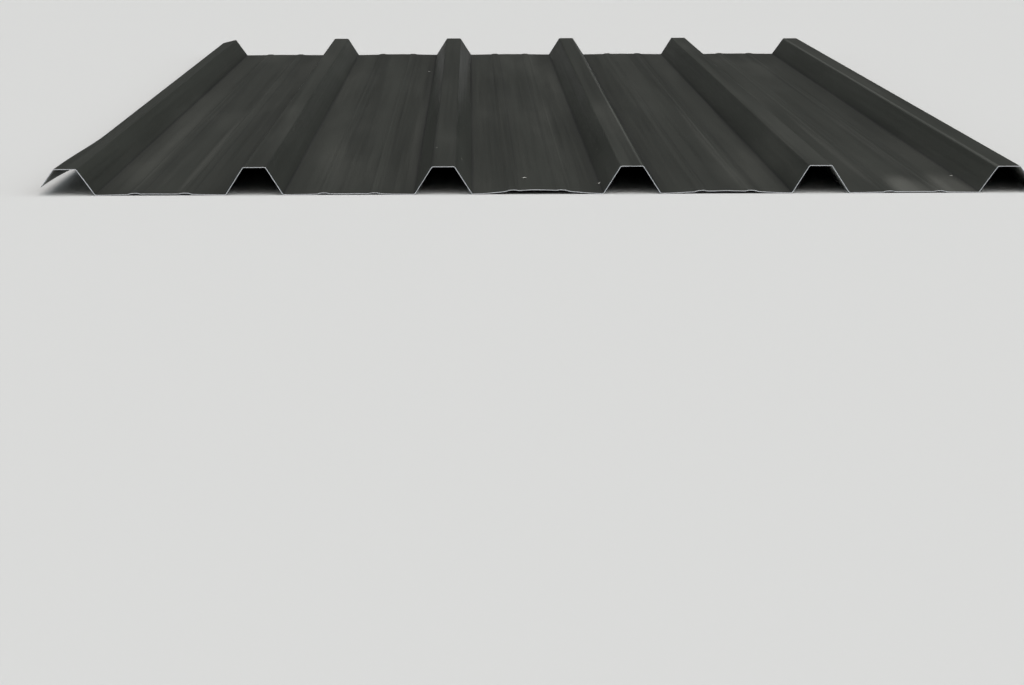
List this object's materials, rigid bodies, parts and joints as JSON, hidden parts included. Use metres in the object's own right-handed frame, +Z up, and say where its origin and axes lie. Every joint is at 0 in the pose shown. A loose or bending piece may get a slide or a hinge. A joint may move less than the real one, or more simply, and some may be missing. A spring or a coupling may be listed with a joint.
{
  "type": "corrugated metal sheet",
  "caption": "Flat-lying roofing and cladding sheet with trapezoidal ribs, wide flat pans with shallow flutes, a short overlap leg on one side and a footed underlap rib on the other.",
  "frame": {"origin": "centre of the footprint, on the level of the pans' undersides", "axes": "+Y along the ribs, +X across the width from the overlap leg to the underlap foot, +Z up, the way the ribs stand"},
  "size_m": [1.0738, 2.4, 0.0297],
  "materials": {
    "painted_steel": "satin coil coating in a dark greenish grey on galvanised steel"
  },
  "bodies": {
    "root": {"corrugated_sheet": "painted_steel"}
  },
  "joints": []
}
